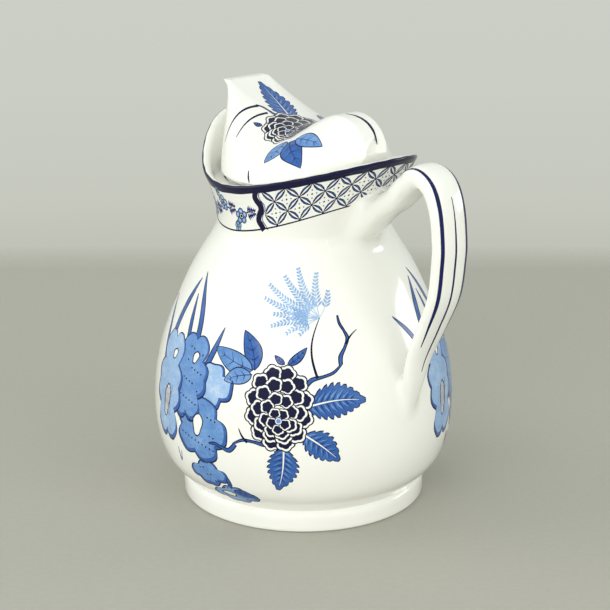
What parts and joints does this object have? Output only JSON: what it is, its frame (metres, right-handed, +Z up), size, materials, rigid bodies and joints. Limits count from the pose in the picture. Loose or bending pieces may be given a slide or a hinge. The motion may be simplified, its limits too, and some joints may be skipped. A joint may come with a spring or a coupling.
{
  "type": "lidded jug",
  "caption": "Pear-shaped glazed jug on a foot ring with a flared saddle rim, a strap handle and a loose saddle-topped lid seated inside the collar.",
  "frame": {"origin": "on the surface the jug stands on, below the middle of its bounding box; the body's own axis is 10.3 mm towards the spout from it", "axes": "+Z up, +X towards the handle, -X towards the spout, the jug is symmetric left and right of Y = 0"},
  "size_m": [0.14, 0.1194, 0.1635],
  "materials": {
    "glazed_body": "clear gloss glaze over white fired clay, blue underglaze print",
    "glazed_handle": "clear gloss glaze over white fired clay, three dark blue painted lines",
    "glazed_lid": "clear gloss glaze over white fired clay, blue underglaze print"
  },
  "bodies": {
    "jug": {"jug_body": "glazed_body", "handle": "glazed_handle"},
    "lid": {"lid": "glazed_lid"}
  },
  "joints": [
    {"name": "lid_lift", "type": "slide", "parent": "jug", "child": "lid", "axis": [0, 0, 1], "range_m": [0, 0.06]}
  ]
}
